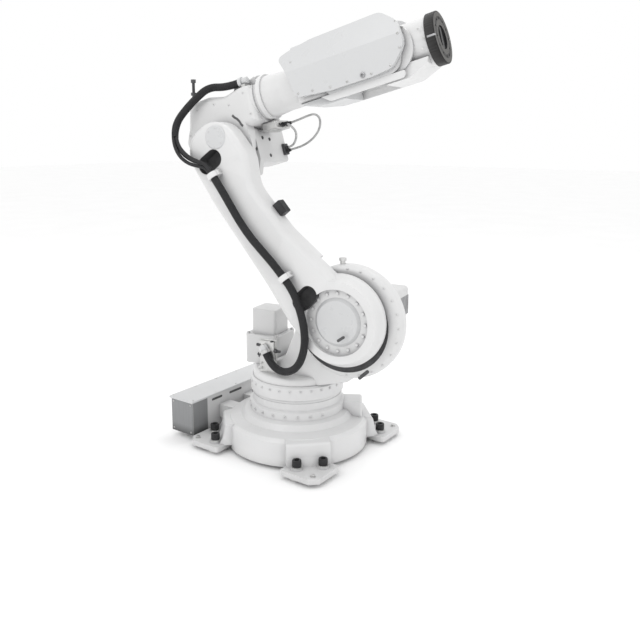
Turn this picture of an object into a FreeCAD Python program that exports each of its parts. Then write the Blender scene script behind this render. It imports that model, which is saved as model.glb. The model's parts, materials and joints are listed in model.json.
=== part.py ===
"""Six-axis floor-standing industrial robot arm, about 150 kg payload class.

Units are millimetres. The origin is on the floor, on axis 1. +X is the front of the base, +Z is up.
Each body is drawn in its own local frame and then placed at the rest pose:
  base    the world frame
  turret  turned about axis 1
  arm     origin on axis 2, local Z along the lower arm
  upper   origin on axis 3, local X along axis 4
"""
import FreeCAD, Part
import math
import os

from FreeCAD import Placement, Rotation, Vector

os.makedirs("parts", exist_ok=True)

# ---- rest pose, degrees ----
AXIS_1_REST = 9.0
LOWER_ARM_LEAN = -40.0        # from upright, forward is positive
UPPER_ARM_RISE = 15.0         # axis 4 above level

# ---- kinematic lengths ----
AXIS_2_X = 320.0
AXIS_2_Z = 705.0
LOWER_ARM_LENGTH = 975.0
AXIS_4_OFFSET = 197.0
WRIST_DISTANCE = 885.0
FLANGE_DISTANCE = 200.0

# ---- clearances ----
RUNNING_GAP = 0.3             # between faces that turn on each other

# ---- base ----
PAD_RADIUS = 39.0
PAD_HEIGHT = 18.0
FOOT_REACH = 388.0
FOOT_WIDTH = 196.0
FOOT_THICKNESS = 26.0
FOOT_CORNER = 34.0
DRUM_RADIUS = 350.0
DRUM_TOP = 148.0
DRUM_SHOULDER_RADIUS = 262.0
DRUM_SHOULDER_TOP = 186.0
BASE_NECK_RADIUS = 222.0
BASE_NECK_TOP = 275.0
GUSSET_WIDTH = 204.0
GUSSET_REACH = 398.0          # along the diagonal
GUSSET_FOOT = 378.0           # along the diagonal, where its slope starts
BOLT_NEAR = 250.0             # foundation bolts are at (near, far) and (far, near) of each corner
BOLT_FAR = 335.0
BOLT_HOLE_RADIUS = 13.5
BOLT_BOSS_RADIUS = 27.0
BOLT_BOSS_HEIGHT = 8.0

# ---- cable box behind the base ----
BOX_NEAR_X = -410.0
BOX_DEPTH = 148.0
BOX_HALF_WIDTH = 330.0
BOX_BOTTOM = 30.0
BOX_TOP = 203.0
BOX_LID = 9.0
BOX_LID_OVERHANG = 9.0
BOX_END_THICKNESS = 3.0
BOX_CARRIER_WIDTH = 80.0
BOX_CARRIER_Y = 95.0
BOX_CARRIER_HEIGHT = 70.0

# ---- turret ----
RING_RADIUS = 230.0
RING_HEIGHT = 84.0
COLUMN_RADIUS = 216.0
COLUMN_TOP = 398.0
HOUSING_RADIUS = 264.0
HOUSING_X = 14.0              # of its centre, from axis 2
HOUSING_Z = -16.0
HOUSING_FRONT = -150.0        # Y of the face beside the arm
HOUSING_RIM = 78.0            # depth of the full-size rim
HOUSING_CONE_RADIUS = 226.0   # where the rear cone starts
HOUSING_BACK_RADIUS = 118.0
HOUSING_BACK = 100.0
HOUSING_ROUND = 26.0
WEB_BACK = 96.0
SEAL_RADIUS = 196.0
MOTOR_1_X = -166.0
MOTOR_1_Y = 22.0
MOTOR_1_WIDTH = 136.0
MOTOR_1_TOP = 672.0
MOTOR_1_FLANGE_WIDTH = 190.0
MOTOR_1_FLANGE_TOP = 545.0
MOTOR_2_FLANGE_RADIUS = 112.0
MOTOR_2_FLANGE = 28.0
MOTOR_2_WIDTH = 150.0
MOTOR_2_HEIGHT = 172.0
MOTOR_2_DROP = 36.0           # of its centre below axis 2
MOTOR_2_SHIFT = 10.0          # of its centre ahead of axis 2
MOTOR_2_END = 485.0           # Y of its far end
MOTOR_2_CAP = 34.0

# ---- lower arm ----
ARM_NEAR = -240.0             # Y of the outer face
ARM_FAR = -125.0              # Y of the face beside the upper arm
ARM_FACE_ROUND = 32.0
DISC_RADIUS = 214.0
DISC_FACE_RADIUS = 188.0
DISC_BACK = -172.0
POCKET_RADIUS = 152.0
POCKET_DEPTH = 24.0
COVER_RADIUS = 112.0
COVER_HEIGHT = 12.0
HANDHOLE_LENGTH = 138.0
HANDHOLE_WIDTH = 86.0
HANDHOLE_DEPTH = 70.0

# ---- upper arm ----
ELBOW_NEAR = -118.0
ELBOW_FAR = 120.0
ELBOW_ROUND = 26.0
ELBOW_HUB_RADIUS = 118.0
ELBOW_FLANGE_RADIUS = 136.0
ELBOW_FLANGE_BACK = -56.0
ELBOW_BARREL_RADIUS = 112.0
ELBOW_FRONT = 208.0
NECK_RING_RADIUS = 103.0
MOTOR_3_PLATE = 34.0
MOTOR_3_FRONT = 118.0
MOTOR_3_WIDTH = 132.0
MOTOR_3_TOP = 74.0
MOTOR_3_HEIGHT = 168.0
MOTOR_3_END = 236.0           # Y of its far end
MOTOR_4_RADIUS = 56.0
MOTOR_4_Y = 52.0
MOTOR_4_END = -266.0

# ---- forearm: Z values are from axis 4, Y values are half widths ----
NECK_END = 415.0
FORK_START = 640.0
FORK_INNER = 118.0
FORK_OUTER = 128.0
COVER_OUTER = 155.0
COVER_BOTTOM = -90.0
COVER_CREASE = 47.0
COVER_TOP = 152.0
COVER_TOP_HALF = 119.0
NOSE_REACH = 82.0             # past the wrist centre
FORK_CORE_TOP = 130.0
BELLY_HALF_WIDTH = 100.0
BELLY_BOTTOM = -133.0
RAIL_BOTTOM = -129.0
RAIL_END = 50.0               # past the wrist centre

# ---- wrist and flange ----
WRIST_HALF_WIDTH = 112.0
WRIST_RADIUS = 103.0
WRIST_FRONT = 158.0
CHIN_HALF_WIDTH = 100.0
CHIN_BACK = 60.0
CHIN_FRONT = 112.0
FLANGE_RADIUS = 111.0
FLANGE_BORE_RADIUS = 50.0
FLANGE_BORE_DEPTH = 14.0
FLANGE_PCD = 160.0
FLANGE_HOLE_RADIUS = 5.1
FLANGE_HOLE_COUNT = 12
FLANGE_HOLE_DEPTH = 20.0

# ---- hoses and cables ----
HOSE_RADIUS = 18.0
FITTING_BODY_RADIUS = HOSE_RADIUS - 2
ELBOW_FITTING_Z = 287.0        # of its axis, above axis 3
HOSE_Y = -273.0
CABLE_RADIUS = 5.5
ARC_SHARE = 0.45              # of the shorter run, on each side of a bend

X = Vector(1, 0, 0)
Y = Vector(0, 1, 0)
Z = Vector(0, 0, 1)

TURRET = Placement(Vector(), Rotation(Z, AXIS_1_REST))
ARM = TURRET.multiply(Placement(Vector(AXIS_2_X, 0, AXIS_2_Z), Rotation(Y, LOWER_ARM_LEAN)))
UPPER_IN_ARM = Placement(Vector(0, 0, LOWER_ARM_LENGTH), Rotation(Y, -UPPER_ARM_RISE - LOWER_ARM_LEAN))
UPPER = ARM.multiply(UPPER_IN_ARM)
WORLD = Placement()

AXIS_4 = Vector(0, 0, AXIS_4_OFFSET)


# ---- helpers ----
def cylinder(radius, start, axis, length):
    return Part.makeCylinder(radius, length, start, axis)


def cone(radius_a, radius_b, start, axis, length):
    return Part.makeCone(radius_a, radius_b, length, start, axis)


def block(x0, x1, y0, y1, z0, z1):
    return Part.makeBox(x1 - x0, y1 - y0, z1 - z0, Vector(x0, y0, z0))


def outline(corners, plane):
    """Closed wire through (a, b, radius) corners, each rounded by a tangent arc; plane maps (a, b)."""
    edges = []
    ends = []
    count = len(corners)
    for i in range(count):
        before, here, after = (Vector(*corners[(i + k) % count][:2], 0) for k in (-1, 0, 1))
        radius = corners[i][2]
        inward = (before - here).normalize()
        outward = (after - here).normalize()
        half = inward.getAngle(outward) / 2
        back = radius / math.tan(half)
        first = here + inward * back
        last = here + outward * back
        to_centre = (inward + outward).normalize()
        middle = here + to_centre * (radius / math.sin(half) - radius)
        ends.append((first, middle, last))
    for i in range(count):
        first, middle, last = (plane(p) for p in ends[i])
        if corners[i][2] > 0:
            edges.append(Part.Arc(first, middle, last).toShape())
        follow = plane(ends[(i + 1) % count][0])
        if (follow - last).Length > 1e-6:
            edges.append(Part.LineSegment(last, follow).toShape())
    return Part.Wire(edges)


def plate_y(corners, y0, y1):
    """Outline in X and Z, from y0 to y1."""
    wire = outline(corners, lambda p: Vector(p.x, y0, p.y))
    return Part.Face(wire).extrude(Vector(0, y1 - y0, 0))


def plate_x(corners, x0, x1):
    """Outline in Y and Z, from x0 to x1."""
    wire = outline(corners, lambda p: Vector(x0, p.x, p.y))
    return Part.Face(wire).extrude(Vector(x1 - x0, 0, 0))


def plate_z(corners, z0, z1):
    """Outline in X and Y, from z0 to z1."""
    wire = outline(corners, lambda p: Vector(p.x, p.y, z0))
    return Part.Face(wire).extrude(Vector(0, 0, z1 - z0))


def revolve_z(profile):
    """Solid of revolution about axis 1 from (radius, height) points."""
    wire = Part.makePolygon([Vector(r, 0, z) for r, z in profile + profile[:1]])
    return Part.Face(wire).revolve(Vector(), Z, 360)


def rounded(shape, radius, keep):
    """Fillet the edges whose centre passes keep."""
    edges = [e for e in shape.Edges if keep(e.CenterOfMass)]
    return shape.makeFillet(radius, edges)


def at_y(value):
    return lambda p: abs(p.y - value) < 0.01


def at_z(value):
    return lambda p: abs(p.z - value) < 0.01


def relieved(shape, other):
    """Cut another piece from this one with a small gap around its upright faces."""
    for shift in (X, -X, Y, -Y):
        shape = shape.cut(other.translated(shift * RUNNING_GAP))
    return max(shape.Solids, key=lambda solid: solid.Volume)


def fuse(*shapes):
    whole = shapes[0]
    for shape in shapes[1:]:
        whole = whole.fuse(shape)
    return whole.removeSplitter()


def write(name, place, *shapes):
    """Put the local shapes at the rest pose and write them as one node."""
    placed = []
    for shape in shapes:
        for solid in shape.Solids:
            placed.append(solid.transformed(place.toMatrix(), True))
    node = placed[0] if len(placed) == 1 else Part.makeCompound(placed)
    box = node.BoundBox
    print(f"{name:28s} solids {len(placed):2d}  valid {node.isValid()}  volume {node.Volume / 1e6:9.3f} l  "
          f"z {box.ZMin:7.1f} {box.ZMax:7.1f}")
    node.exportStep(f"parts/{name}.step")


def tube(name, place, points, radius):
    """Round tube along straight runs joined by tangent arcs; prints its radii and checks its volume."""
    edges = []
    radii = []
    start = points[0]
    for i in range(1, len(points) - 1):
        corner = points[i]
        to_before = points[i - 1] - corner
        to_after = points[i + 1] - corner
        half_turn = (math.pi - to_before.getAngle(to_after)) / 2
        back = ARC_SHARE * min(to_before.Length, to_after.Length)
        radii.append(back / math.tan(half_turn))
        to_before.normalize()
        to_after.normalize()
        first = corner + to_before * back
        last = corner + to_after * back
        bisector = (to_before + to_after).normalize()
        centre = corner + bisector * (radii[-1] / math.cos(half_turn))
        middle = centre - bisector * radii[-1]
        edges.append(Part.LineSegment(start, first).toShape())
        edges.append(Part.Arc(first, middle, last).toShape())
        start = last
    edges.append(Part.LineSegment(start, points[-1]).toShape())
    path = Part.Wire(edges)
    circle = Part.Circle(points[0], points[1] - points[0], radius).toShape()
    body = path.makePipeShell([Part.Wire([circle])], True, False)
    expected = math.pi * radius ** 2 * path.Length
    print(f"  {name}: length {path.Length:.0f} mm, radii {[round(r) for r in radii]}, "
          f"volume {body.Volume / expected:.4f} of section times length")
    return body


# ---- base ----
def foundation_bolts():
    """Centres of the eight foundation bolts."""
    pairs = [(BOLT_NEAR, BOLT_FAR), (BOLT_FAR, BOLT_NEAR)]
    return [Vector(sx * a, sy * b, 0) for sx in (-1, 1) for sy in (-1, 1) for a, b in pairs]


def foot():
    """One foot plate and its gusset, drawn toward +X, +Y."""
    inner = FOOT_REACH - FOOT_WIDTH
    plate = plate_z([(inner, inner, 0), (inner, FOOT_REACH, 12), (FOOT_REACH - FOOT_CORNER, FOOT_REACH, 8),
                     (FOOT_REACH, FOOT_REACH - FOOT_CORNER, 8), (FOOT_REACH, inner, 12)],
                    PAD_HEIGHT, PAD_HEIGHT + FOOT_THICKNESS)
    top = PAD_HEIGHT + FOOT_THICKNESS
    gusset = plate_y([(250, top - 5, 0), (GUSSET_REACH, top - 5, 0), (GUSSET_FOOT, top + 34, 14),
                      (GUSSET_FOOT - 12, DRUM_TOP - 10, 14), (290, DRUM_TOP + 6, 20), (250, DRUM_TOP + 6, 0)],
                     -GUSSET_WIDTH / 2, GUSSET_WIDTH / 2)
    gusset.Placement = Placement(Vector(), Rotation(Z, 45))
    return [plate, gusset.copy()]


def drum_profile(grow=0.0):
    """Radius and height points of the drum and its neck, grown evenly for what stands on it."""
    neck = BASE_NECK_RADIUS + 14 + grow
    return [(0, PAD_HEIGHT), (DRUM_RADIUS + grow, PAD_HEIGHT), (DRUM_RADIUS + grow, DRUM_TOP - 16 + grow),
            (DRUM_RADIUS - 16, DRUM_TOP + grow), (DRUM_SHOULDER_RADIUS + 18 + grow, DRUM_TOP + 12 + grow),
            (DRUM_SHOULDER_RADIUS + grow, DRUM_SHOULDER_TOP + grow), (neck, DRUM_SHOULDER_TOP + 10 + grow),
            (neck, BASE_NECK_TOP - 42), (BASE_NECK_RADIUS, BASE_NECK_TOP - 34), (BASE_NECK_RADIUS, BASE_NECK_TOP),
            (0, BASE_NECK_TOP)]


def base_casting():
    body = revolve_z(drum_profile())
    for quarter in range(4):
        turn = Placement(Vector(), Rotation(Z, 90 * quarter)).toMatrix()
        for piece in foot():
            body = body.fuse(piece.transformed(turn, True))
    for centre in foundation_bolts():
        boss_top = PAD_HEIGHT + FOOT_THICKNESS + BOLT_BOSS_HEIGHT
        body = body.fuse(cylinder(BOLT_BOSS_RADIUS, centre + Z * PAD_HEIGHT, Z, boss_top - PAD_HEIGHT))
    for centre in foundation_bolts():
        well_floor = PAD_HEIGHT + FOOT_THICKNESS + BOLT_BOSS_HEIGHT
        body = body.cut(cylinder(BOLT_BOSS_RADIUS, centre + Z * well_floor, Z, DRUM_TOP))
        body = body.cut(cylinder(BOLT_HOLE_RADIUS, centre, Z, DRUM_TOP))
    return body.removeSplitter()


def foot_pads():
    """Levelling ring under each foundation bolt."""
    return [cylinder(PAD_RADIUS, centre, Z, PAD_HEIGHT).cut(cylinder(BOLT_HOLE_RADIUS, centre, Z, PAD_HEIGHT))
            for centre in foundation_bolts()]


def box_outline(grow=0.0):
    """Plan of the cable box, grown evenly for its lid."""
    near = BOX_NEAR_X + grow
    far = BOX_NEAR_X - BOX_DEPTH - grow
    side = BOX_HALF_WIDTH + grow
    return [(far, -side, 3), (near, -side, 3), (near, side, 3), (far, side, 3)]


def rear_box():
    inset = BOX_END_THICKNESS
    return block(BOX_NEAR_X - BOX_DEPTH, BOX_NEAR_X, -BOX_HALF_WIDTH + inset, BOX_HALF_WIDTH - inset,
                 BOX_BOTTOM, BOX_TOP)


def rear_box_ends():
    """Two grey end plates, each folded round onto the front of the box."""
    plates = []
    for side in (-1, 1):
        outer = side * BOX_HALF_WIDTH
        inner = outer - side * BOX_END_THICKNESS
        plates.append(block(BOX_NEAR_X - BOX_DEPTH, BOX_NEAR_X, min(outer, inner), max(outer, inner),
                            BOX_BOTTOM, BOX_TOP))
    return plates


def rear_box_carrier():
    """Two brackets that hold the cable box off the back of the drum."""
    floor = BOX_BOTTOM + 40
    arms = []
    for side in (-1, 1):
        centre = side * BOX_CARRIER_Y
        arm = block(BOX_NEAR_X, -DRUM_SHOULDER_RADIUS, centre - BOX_CARRIER_WIDTH / 2,
                    centre + BOX_CARRIER_WIDTH / 2, floor, floor + BOX_CARRIER_HEIGHT)
        arms.append(arm.cut(revolve_z(drum_profile(RUNNING_GAP))))
    return arms


def base_connector():
    """Dark connector on the back of the base neck."""
    body = block(-BASE_NECK_RADIUS - 46, -BASE_NECK_RADIUS - 14 - RUNNING_GAP, -38, 38,
                 DRUM_SHOULDER_TOP + 12, BASE_NECK_TOP - 46)
    return rounded(body, 6, lambda p: True)


def axis_1_stop():
    """Cast stop block on the drum shoulder that limits axis 1."""
    body = block(BASE_NECK_RADIUS, DRUM_SHOULDER_RADIUS + 62, -52, 52, DRUM_TOP, BASE_NECK_TOP - 44)
    body = rounded(body, 10, lambda p: p.x > DRUM_SHOULDER_RADIUS + 60)
    body = body.cut(revolve_z(drum_profile(RUNNING_GAP)))
    body.rotate(Vector(), Z, 33)
    return body


# ---- turret, in its own frame with the rest angle taken out ----
def turret_ring():
    floor = BASE_NECK_TOP + RUNNING_GAP
    return revolve_z([(0, floor), (RING_RADIUS - 10, floor), (RING_RADIUS - 10, floor + 12),
                      (RING_RADIUS, floor + 18), (RING_RADIUS, floor + RING_HEIGHT - 8),
                      (RING_RADIUS - 8, floor + RING_HEIGHT), (0, floor + RING_HEIGHT)])


def housing_centre(y):
    return Vector(AXIS_2_X + HOUSING_X, y, AXIS_2_Z + HOUSING_Z)


def turret_casting():
    """Column on the turning ring, running up into the round shoulder housing."""
    floor = BASE_NECK_TOP + RUNNING_GAP + RING_HEIGHT
    rim_back = HOUSING_FRONT + HOUSING_RIM
    rim = cylinder(HOUSING_RADIUS, housing_centre(HOUSING_FRONT), Y, HOUSING_RIM)
    rim = rounded(rim, HOUSING_ROUND, lambda p: True)
    back = cone(HOUSING_CONE_RADIUS, HOUSING_BACK_RADIUS, housing_centre(rim_back - 30), Y,
                HOUSING_BACK - rim_back + 30)
    column = cylinder(COLUMN_RADIUS, Z * floor, Z, COLUMN_TOP - floor)
    column = rounded(column, 18, at_z(COLUMN_TOP))
    near_web = plate_y([(-150, floor, 0), (180, floor, 0), (330, 400, 60), (420, 470, 60), (460, 560, 60),
                        (400, 700, 60), (160, 760, 60), (70, 640, 80), (0, 470, 80), (-150, COLUMN_TOP + 12, 30)],
                       HOUSING_FRONT + 14, rim_back + 20)
    near_web = rounded(near_web, 10, at_y(HOUSING_FRONT + 14))
    far_web = plate_y([(-150, floor, 0), (120, floor, 0), (220, 390, 40), (300, 460, 60), (350, 560, 60),
                       (380, 700, 60), (240, 760, 60), (110, 640, 80), (0, 470, 80), (-150, COLUMN_TOP + 12, 30)],
                      rim_back + 10, WEB_BACK)
    far_web = rounded(far_web, 14, at_y(WEB_BACK))
    return fuse(rim, back, column, near_web, far_web)


def shoulder_seal():
    """Dark bearing and seal ring between the shoulder housing and the lower arm."""
    start = Vector(AXIS_2_X, DISC_BACK + RUNNING_GAP, AXIS_2_Z)
    return cylinder(SEAL_RADIUS, start, Y, HOUSING_FRONT - DISC_BACK - 2 * RUNNING_GAP)


def motor_1_flange():
    half = MOTOR_1_FLANGE_WIDTH / 2
    body = block(MOTOR_1_X - half, MOTOR_1_X + half, MOTOR_1_Y - half, MOTOR_1_Y + half,
                 COLUMN_TOP + RUNNING_GAP, MOTOR_1_FLANGE_TOP)
    body = rounded(body, 24, lambda p: abs(p.z - (COLUMN_TOP + MOTOR_1_FLANGE_TOP) / 2) < 1)
    return relieved(body, turret_casting())


def motor_1():
    half = MOTOR_1_WIDTH / 2
    body = block(MOTOR_1_X - half, MOTOR_1_X + half, MOTOR_1_Y - half, MOTOR_1_Y + half,
                 MOTOR_1_FLANGE_TOP, MOTOR_1_TOP)
    body = rounded(body, 14, lambda p: abs(p.z - (MOTOR_1_TOP + MOTOR_1_FLANGE_TOP) / 2) < 1)
    return rounded(body, 6, at_z(MOTOR_1_TOP))


def motor_2_flange():
    centre = Vector(AXIS_2_X + MOTOR_2_SHIFT, HOUSING_BACK, AXIS_2_Z - MOTOR_2_DROP)
    return cylinder(MOTOR_2_FLANGE_RADIUS, centre, Y, MOTOR_2_FLANGE)


def motor_2_block(start, end, grow):
    """Square motor section with rounded long edges."""
    half = MOTOR_2_WIDTH / 2 + grow
    tall = MOTOR_2_HEIGHT / 2 + grow
    middle = AXIS_2_Z - MOTOR_2_DROP
    across = AXIS_2_X + MOTOR_2_SHIFT
    body = block(across - half, across + half, start, end, middle - tall, middle + tall)
    return rounded(body, 20, lambda p: abs(p.y - (start + end) / 2) < 1)


def motor_2():
    """Case with a slightly smaller end cap."""
    cap_start = MOTOR_2_END - MOTOR_2_CAP
    case = motor_2_block(HOUSING_BACK + MOTOR_2_FLANGE, cap_start, 0)
    cap = rounded(motor_2_block(cap_start, MOTOR_2_END, -5), 8, at_y(MOTOR_2_END))
    return fuse(case, cap)


def lifting_knob():
    """Short post with a head on top of the shoulder housing."""
    foot_z = AXIS_2_Z + HOUSING_Z + HOUSING_RADIUS - 4
    x = AXIS_2_X + HOUSING_X - 40
    y = HOUSING_FRONT + HOUSING_RIM / 2
    post = fuse(cylinder(12, Vector(x, y, foot_z - 6), Z, 24), cylinder(17, Vector(x, y, foot_z + 16), Z, 12))
    return post.cut(cylinder(HOUSING_RADIUS + RUNNING_GAP, housing_centre(HOUSING_FRONT), Y, HOUSING_RIM))


HOSE_FITTING = Vector(-64, -195, 500)       # turret end of the lower hose loop


def hose_bracket():
    """Plate on the turret column that carries the turret end of the hose."""
    x = HOSE_FITTING.x
    y0 = HOSE_FITTING.y + HOSE_RADIUS + 9
    plate = block(x - 52, x + 40, y0, y0 + 10, COLUMN_TOP, HOSE_FITTING.z + 62)
    plate = rounded(plate, 4, lambda p: True)
    foot_part = block(x - 52, x + 40, y0, y0 + 46, COLUMN_TOP, COLUMN_TOP + 10)
    return fuse(plate, foot_part).cut(turret_casting())


def hose_fitting(joint_end, toward):
    """Threaded end fitting: collar, hexagon and elbow body behind a hose end."""
    back = (joint_end - toward).normalize()
    collar = cylinder(HOSE_RADIUS + 5, joint_end + back * RUNNING_GAP, back, 16)
    body = cylinder(FITTING_BODY_RADIUS, joint_end + back * 15, back, 30)
    return fuse(collar, body)


# ---- lower arm, in its own frame ----
ARM_OUTLINE = [(-140, 1110, 128), (124, 1110, 128), (124, 850, 110), (48, 730, 160), (58, 470, 300),
               (118, 175, 60), (118, -40, 60), (-60, -180, 60), (-190, -90, 90), (-206, 130, 200),
               (-188, 330, 300), (-180, 560, 300), (-174, 800, 300)]


def handhole(x, z, angle):
    """Oval well cut into the outer face."""
    half = HANDHOLE_LENGTH / 2
    side = HANDHOLE_WIDTH / 2
    r = side - 0.5
    corners = [(-half, -side, r), (half, -side, r), (half, side, r), (-half, side, r)]
    well = plate_y(corners, ARM_NEAR - 1, ARM_NEAR + HANDHOLE_DEPTH)
    well.Placement = Placement(Vector(x, 0, z), Rotation(Y, angle))
    return well


HANDHOLES = [(-52, 950, 4), (-58, 172, -4)]    # X, Z, angle


def lower_arm():
    body = plate_y(ARM_OUTLINE, ARM_NEAR, ARM_FAR)
    body = rounded(body, ARM_FACE_ROUND, at_y(ARM_NEAR))
    body = rounded(body, 20, at_y(ARM_FAR))
    room = block(-400, 400, DISC_BACK, ARM_FAR + 1, -400, HOUSING_RADIUS + 22)
    body = body.cut(room)
    disc = fuse(cone(DISC_FACE_RADIUS, DISC_RADIUS, Vector(0, ARM_NEAR, 0), Y, 48),
                cylinder(DISC_RADIUS, Vector(0, ARM_NEAR + 48, 0), Y, DISC_BACK - ARM_NEAR - 48))
    body = body.fuse(disc)
    body = body.cut(cylinder(POCKET_RADIUS, Vector(0, ARM_NEAR - 1, 0), Y, POCKET_DEPTH + 1))
    for x, z, angle in HANDHOLES:
        body = body.cut(handhole(x, z, angle))
    return body.removeSplitter()


def shoulder_cover():
    """Domed cover in the pocket at axis 2."""
    floor = ARM_NEAR + POCKET_DEPTH
    return cone(COVER_RADIUS, COVER_RADIUS - 14, Vector(0, floor, 0), -Y, COVER_HEIGHT)


def elbow_cover():
    """Round cover on the outer face at axis 3."""
    return cone(56, 50, Vector(46, ARM_NEAR, LOWER_ARM_LENGTH + 40), -Y, 5)


CLAMP_WIDTH = 26.0


def hose_clamps(points):
    """Two clamp bodies, each a ring round the hose on a foot on the arm."""
    clamps = []
    for centre, along in ((points[0], points[1] - points[0]), (points[-1], points[-2] - points[-1])):
        along.normalize()
        ring = cylinder(HOSE_RADIUS + 8, centre + along * 4, along, CLAMP_WIDTH)
        middle = centre + along * (4 + CLAMP_WIDTH / 2)
        foot_part = block(-HOSE_RADIUS - 14, HOSE_RADIUS + 14, HOSE_Y, ARM_NEAR, -CLAMP_WIDTH / 2, CLAMP_WIDTH / 2)
        tilt = math.degrees(math.atan2(along.x, along.z))
        foot_part.Placement = Placement(Vector(middle.x, 0, middle.z), Rotation(Y, tilt))
        hole = cylinder(HOSE_RADIUS + RUNNING_GAP, centre - along * 40, along, 120)
        clamps.append(fuse(ring, foot_part.copy()).cut(hole))
    return clamps


def arm_switch_box():
    """Small dark box on the front edge of the lower arm."""
    body = block(44, 94, ARM_NEAR + 58, ARM_FAR - 8, 545, 610)
    body = rounded(body, 5, lambda p: True)
    return relieved(body, lower_arm())


# ---- upper arm and elbow ----
VENT_SEAT = Vector(-142, -98, 271)


def elbow_housing():
    upper = plate_y([(-166, 268, 24), (-50, 270, 60), (40, 248, 60), (110, 262, 60), (190, 300, 0), (190, 92, 0),
                     (140, 80, 30), (-224, 80, 60)], ELBOW_NEAR, ELBOW_FAR)
    upper = rounded(upper, ELBOW_ROUND, lambda p: (at_y(ELBOW_NEAR)(p) or at_y(ELBOW_FAR)(p)) and 150 < p.z)
    lower = plate_y([(-190, 150, 30), (120, 150, 30), (132, 60, 60), (110, -60, 60), (40, -126, 60),
                     (-70, -126, 60), (-170, -60, 80), (-222, 84, 40)], ELBOW_NEAR, ELBOW_FLANGE_BACK)
    flange = cylinder(ELBOW_FLANGE_RADIUS, Vector(0, ELBOW_NEAR, 0), Y, 20)
    hub = cylinder(ELBOW_HUB_RADIUS, Vector(0, ARM_FAR + RUNNING_GAP, 0), Y, ELBOW_NEAR - ARM_FAR + 10)
    barrel = cylinder(ELBOW_BARREL_RADIUS, AXIS_4 + X * 90, X, ELBOW_FRONT - 14 - 90)
    lip = cylinder(NECK_RING_RADIUS, AXIS_4 + X * 90, X, ELBOW_FRONT - 90)
    vent_boss = cylinder(15, VENT_SEAT - Z * 40, Z, 40)
    whole = fuse(upper, lower, flange, hub, barrel, lip, vent_boss)
    return whole.cut(block(92, ELBOW_FRONT + 1, ELBOW_NEAR - 1, -58, 258, 400))


def motor_3_plate():
    """Mounting plate of the axis 3 motor, under the barrel."""
    x1 = MOTOR_3_FRONT + 8
    y0 = ELBOW_FLANGE_BACK
    plate = plate_y([(x1 - MOTOR_3_WIDTH - 20, MOTOR_3_TOP + 2, 14), (x1, MOTOR_3_TOP + 2, 14),
                     (x1, MOTOR_3_TOP - 150, 40), (x1 - 30, MOTOR_3_TOP - 224, 14),
                     (x1 - MOTOR_3_WIDTH - 20, MOTOR_3_TOP - 200, 40)], y0, y0 + MOTOR_3_PLATE)
    return plate


def motor_3():
    start = ELBOW_FLANGE_BACK + MOTOR_3_PLATE
    case = block(MOTOR_3_FRONT - MOTOR_3_WIDTH, MOTOR_3_FRONT, start, MOTOR_3_END,
                 MOTOR_3_TOP - MOTOR_3_HEIGHT, MOTOR_3_TOP)
    case = rounded(case, 14, lambda p: abs(p.y - (start + MOTOR_3_END) / 2) < 1)
    return rounded(case, 10, at_y(MOTOR_3_END))


def motor_4():
    """Axis 4 motor, its end showing behind the elbow."""
    start = Vector(-150, MOTOR_4_Y, 168)
    case = cylinder(MOTOR_4_RADIUS, start, -X, -150 - MOTOR_4_END)
    case = rounded(case, 8, lambda p: p.x < MOTOR_4_END + 1)
    return relieved(case, elbow_housing())


def elbow_side_cover():
    """Cover plate on the far side of the elbow."""
    return plate_y([(-140, 112, 24), (110, 112, 24), (110, 226, 24), (-140, 236, 24)], ELBOW_FAR, ELBOW_FAR + 8)


def elbow_hose_bracket():
    """Saddle on top of the elbow, under the hose fitting."""
    top = ELBOW_FITTING_Z - FITTING_BODY_RADIUS - RUNNING_GAP
    return block(148, 168, -112, -68, 258, top)


def vent_fitting():
    """Breather pipe with a capped head, upright at rest."""
    tilt = math.radians(UPPER_ARM_RISE)
    up = Vector(math.sin(tilt), 0, math.cos(tilt))
    start = VENT_SEAT + Z * 3
    nut = cylinder(12, VENT_SEAT, Z, 10)
    pipe = cylinder(7, start, up, 98)
    collar = cylinder(13, start + up * 30, up, 14)
    cap = cylinder(12, start + up * 90, up, 16)
    return fuse(nut, pipe, collar, cap)


def cable_block():
    """Block under the barrel with the sockets of the two motor leads."""
    body = block(150, 232, -22, 112, 44, 84)
    body = rounded(body, 6, lambda p: True)
    return relieved(relieved(body, elbow_housing()), motor_3())


def motor_3_socket():
    """Connector box on the front of the axis 3 motor."""
    body = block(MOTOR_3_FRONT, MOTOR_3_FRONT + 14, 190, 232, -62, -6)
    return rounded(body, 4, lambda p: p.x > MOTOR_3_FRONT + 1)


# ---- forearm, in the upper frame with Z from axis 4 ----
def forearm_neck():
    """Turning ring, cone and inner tube of the forearm."""
    start = ELBOW_FRONT + RUNNING_GAP
    ring = cylinder(NECK_RING_RADIUS + 4, X * start, X, 22)
    taper = cone(NECK_RING_RADIUS - 4, 92, X * (start + 22), X, 90)
    tube_part = cylinder(92, X * (start + 112), X, NECK_END - start - 112)
    return fuse(ring, taper, tube_part)


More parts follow.
